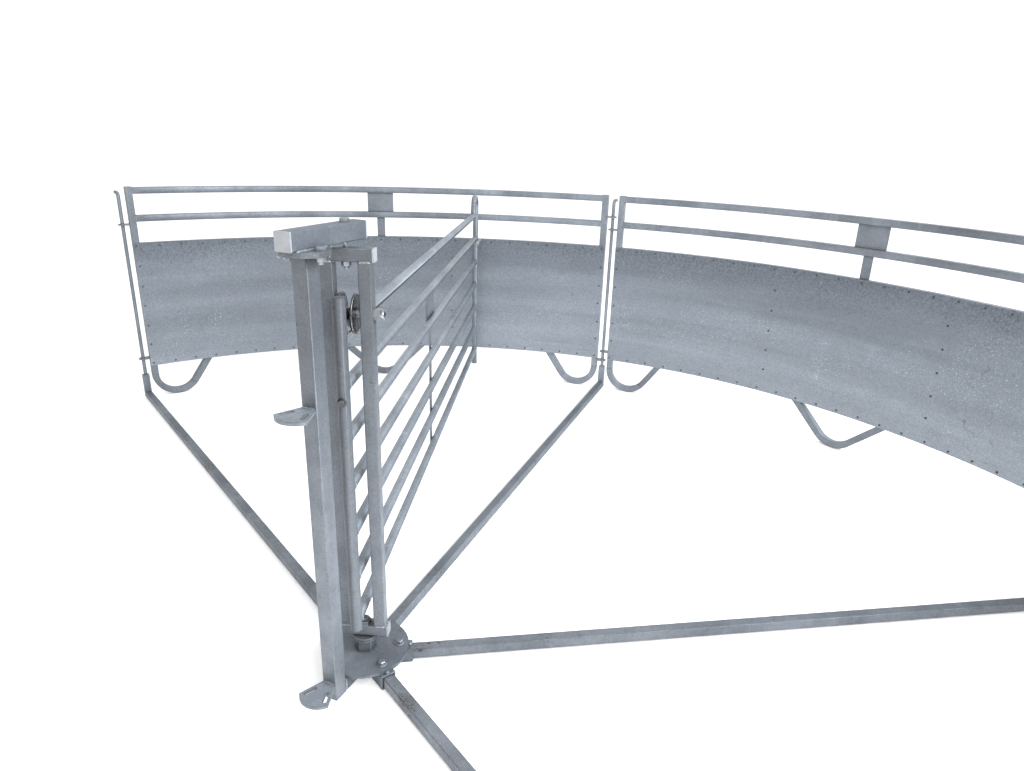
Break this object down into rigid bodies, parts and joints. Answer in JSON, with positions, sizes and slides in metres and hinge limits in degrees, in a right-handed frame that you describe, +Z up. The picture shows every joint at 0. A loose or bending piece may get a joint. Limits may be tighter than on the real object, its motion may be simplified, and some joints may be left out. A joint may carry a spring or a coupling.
{
  "type": "livestock sweep gate",
  "caption": "Galvanised livestock sweep: sheeted half-round fence on ground spokes, with a sliding railed gate on a pivot frame at the centre post.",
  "frame": {"origin": "on the ground, on the pivot axis, at the underside of the hub boss", "axes": "+Z up along the pivot axis, +Y towards the middle of the fence, +X along the straight open side"},
  "size_m": [4.908, 2.6292, 1.1613],
  "materials": {
    "tube_zinc": "hot-dip galvanised tube, dull blue-grey with soft spangle",
    "sheet_zinc": "galvanised sheet, fine spangle and cloudy bands",
    "bright_zinc": "zinc-plated bolts, nuts and rods",
    "roller_steel": "turned steel, bright rims and dark groove",
    "cap_plastic": "light grey plastic end caps"
  },
  "bodies": {
    "base": {"hub_plate": "tube_zinc", "hub_boss": "tube_zinc", "hub_sockets": "tube_zinc", "post_foot_beam": "tube_zinc", "lower_pivot": "bright_zinc", "centre_post": "tube_zinc", "post_flange": "tube_zinc", "top_arm": "tube_zinc", "arm_flange": "tube_zinc", "arm_caps": "cap_plastic", "flange_bolts": "bright_zinc", "upper_pivot": "bright_zinc", "post_lugs": "tube_zinc", "spoke_1": "tube_zinc", "spoke_2": "tube_zinc", "spoke_3": "tube_zinc", "spoke_4": "tube_zinc", "rod_sockets": "tube_zinc", "joint_rods": "bright_zinc", "panel_1_posts": "tube_zinc", "panel_1_end_feet": "tube_zinc", "panel_1_rails": "tube_zinc", "panel_1_sheet": "sheet_zinc", "panel_1_uprights": "tube_zinc", "panel_1_middle_foot": "tube_zinc", "panel_1_eyes": "tube_zinc", "panel_2_posts": "tube_zinc", "panel_2_end_feet": "tube_zinc", "panel_2_rails": "tube_zinc", "panel_2_sheet": "sheet_zinc", "panel_2_uprights": "tube_zinc", "panel_2_middle_foot": "tube_zinc", "panel_2_eyes": "tube_zinc", "panel_3_posts": "tube_zinc", "panel_3_end_feet": "tube_zinc", "panel_3_rails": "tube_zinc", "panel_3_sheet": "sheet_zinc", "panel_3_uprights": "tube_zinc", "panel_3_middle_foot": "tube_zinc", "panel_3_eyes": "tube_zinc"},
    "frame": {"frame_uprights": "tube_zinc", "frame_top_tube": "tube_zinc", "frame_bottom_tube": "tube_zinc", "frame_caps": "cap_plastic", "roller_axle": "bright_zinc"},
    "roller": {"roller": "roller_steel"},
    "gate": {"gate_top_rail": "tube_zinc", "gate_hump_leg": "tube_zinc", "gate_hump_bend": "tube_zinc", "gate_far_stile": "tube_zinc", "gate_rails": "tube_zinc", "gate_near_stile": "tube_zinc", "gate_brace": "tube_zinc", "latch_guide": "tube_zinc"},
    "latch": {"latch_bolt": "bright_zinc"}
  },
  "joints": [
    {"name": "swing", "type": "hinge", "parent": "base", "child": "frame", "pos_m": [0, 0, 0], "axis": [0, 0, 1], "range_deg": [-175, 134]},
    {"name": "gate_slide", "type": "slide", "parent": "frame", "child": "gate", "axis": [0.7373, -0.6756, 0], "range_m": [0, 0.9]},
    {"name": "roller_turn", "type": "hinge", "parent": "frame", "child": "roller", "pos_m": [0, 0, 0.9538], "axis": [-0.6756, -0.7373, 0], "continuous": true},
    {"name": "latch_slide", "type": "slide", "parent": "gate", "child": "latch", "axis": [0.7373, -0.6756, 0], "range_m": [0, 0.03]}
  ]
}
